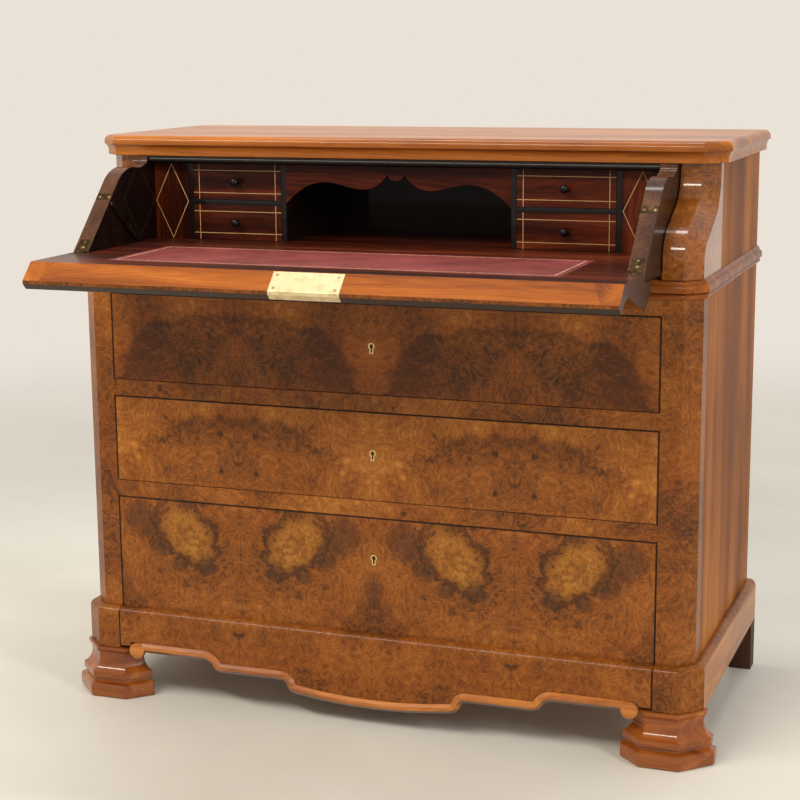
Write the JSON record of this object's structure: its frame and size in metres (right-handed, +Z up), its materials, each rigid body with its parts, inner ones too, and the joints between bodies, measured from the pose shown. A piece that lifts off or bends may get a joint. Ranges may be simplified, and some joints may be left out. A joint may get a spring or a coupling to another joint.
{
  "type": "fall-front commode",
  "caption": "Walnut chest of drawers with a pull-out writing box, an ogee fall front lined with leather, pigeonholes and a moulded top on shaped feet.",
  "frame": {"origin": "on the floor, in the middle of the space the commode takes with its writing box drawn out and fall let down", "axes": "+X to the viewer's right when facing the drawers, +Y towards the wall behind, +Z up"},
  "size_m": [1.178, 0.8096, 1.006],
  "materials": {
    "walnut_straight": "French-polished straight-grained walnut",
    "walnut_moulding": "French-polished reddish walnut",
    "burr_walnut": "French-polished burr walnut veneer",
    "fall_walnut": "French-polished walnut",
    "mahogany": "dark red-brown polished wood with pale stringing",
    "ebonised_wood": "black polished wood",
    "oak_lining": "plain unpolished wood",
    "tooled_leather": "burgundy leather with a gold tooled line",
    "brass": "worn brass"
  },
  "bodies": {
    "carcass": {"top_board": "walnut_straight", "back_panel": "oak_lining", "bottom_board": "oak_lining", "dust_board": "oak_lining", "side_panel_left": "walnut_straight", "side_panel_right": "walnut_straight", "corner_post_left": "walnut_straight", "corner_post_right": "walnut_straight", "shaped_pilaster_left": "burr_walnut", "shaped_pilaster_right": "burr_walnut", "waist_moulding": "walnut_moulding", "plinth_left": "walnut_straight", "plinth_right": "walnut_straight", "front_foot_left": "walnut_moulding", "front_foot_right": "walnut_moulding", "rear_feet": "walnut_straight", "drawer_rails": "walnut_straight", "drawer_runners": "oak_lining"},
    "writing_box": {"desk_floor": "mahogany", "desk_leather": "tooled_leather", "desk_cheek_left": "walnut_straight", "desk_cheek_right": "walnut_straight", "desk_back": "mahogany", "desk_lid": "mahogany", "lid_rail": "ebonised_wood", "partitions": "mahogany", "drawer_shelves": "mahogany", "niche_apron": "mahogany", "diamond_panels": "mahogany", "catch_plates": "brass", "cheek_hinge_leaves": "brass"},
    "fall": {"fall_panel": "fall_walnut", "fall_leather": "tooled_leather", "fall_lock": "brass", "fall_escutcheon": "brass", "fall_hinge_leaves": "brass"},
    "bottom_drawer": {"bottom_drawer_front": "burr_walnut", "bottom_drawer_box": "oak_lining", "bottom_drawer_lock": "brass", "apron_bead": "walnut_moulding"},
    "middle_drawer": {"middle_drawer_front": "burr_walnut", "middle_drawer_box": "oak_lining", "middle_drawer_lock": "brass"},
    "top_drawer": {"top_drawer_front": "burr_walnut", "top_drawer_box": "oak_lining", "top_drawer_lock": "brass"},
    "small_drawer_lower_left": {"small_drawer_lower_left_front": "mahogany", "small_drawer_lower_left_box": "oak_lining", "small_drawer_lower_left_knob": "ebonised_wood"},
    "small_drawer_lower_right": {"small_drawer_lower_right_front": "mahogany", "small_drawer_lower_right_box": "oak_lining", "small_drawer_lower_right_knob": "ebonised_wood"},
    "small_drawer_upper_left": {"small_drawer_upper_left_front": "mahogany", "small_drawer_upper_left_box": "oak_lining", "small_drawer_upper_left_knob": "ebonised_wood"},
    "small_drawer_upper_right": {"small_drawer_upper_right_front": "mahogany", "small_drawer_upper_right_box": "oak_lining", "small_drawer_upper_right_knob": "ebonised_wood"},
    "catch_left": {"catch_lever_left": "brass"},
    "catch_right": {"catch_lever_right": "brass"}
  },
  "joints": [
    {"name": "desk_slide", "type": "slide", "parent": "carcass", "child": "writing_box", "axis": [0, 1, 0], "range_m": [0, 0.167]},
    {"name": "fall_hinge", "type": "hinge", "parent": "writing_box", "child": "fall", "pos_m": [0, -0.24424, 0.823], "axis": [-1, 0, 0], "range_deg": [0, 135]},
    {"name": "bottom_drawer_slide", "type": "slide", "parent": "carcass", "child": "bottom_drawer", "axis": [0, -1, 0], "range_m": [0, 0.33]},
    {"name": "middle_drawer_slide", "type": "slide", "parent": "carcass", "child": "middle_drawer", "axis": [0, -1, 0], "range_m": [0, 0.33]},
    {"name": "top_drawer_slide", "type": "slide", "parent": "carcass", "child": "top_drawer", "axis": [0, -1, 0], "range_m": [0, 0.33]},
    {"name": "small_drawer_lower_left_slide", "type": "slide", "parent": "writing_box", "child": "small_drawer_lower_left", "axis": [0, -1, 0], "range_m": [0, 0.11]},
    {"name": "small_drawer_lower_right_slide", "type": "slide", "parent": "writing_box", "child": "small_drawer_lower_right", "axis": [0, -1, 0], "range_m": [0, 0.11]},
    {"name": "small_drawer_upper_left_slide", "type": "slide", "parent": "writing_box", "child": "small_drawer_upper_left", "axis": [0, -1, 0], "range_m": [0, 0.11]},
    {"name": "small_drawer_upper_right_slide", "type": "slide", "parent": "writing_box", "child": "small_drawer_upper_right", "axis": [0, -1, 0], "range_m": [0, 0.11]},
    {"name": "catch_left_turn", "type": "hinge", "parent": "writing_box", "child": "catch_left", "pos_m": [-0.4593, -0.09924, 0.851], "axis": [-1, 0, 0], "range_deg": [0, 5], "stiffness_Nm_per_rad": 0.5, "springref_deg": -11.46},
    {"name": "catch_right_turn", "type": "hinge", "parent": "writing_box", "child": "catch_right", "pos_m": [0.4593, -0.09924, 0.851], "axis": [-1, 0, 0], "range_deg": [0, 5], "stiffness_Nm_per_rad": 0.5, "springref_deg": -11.46}
  ],
  "couplings": [
    {"joint": "fall_hinge", "follows": "desk_slide", "rad_per_m": 14.108}
  ]
}
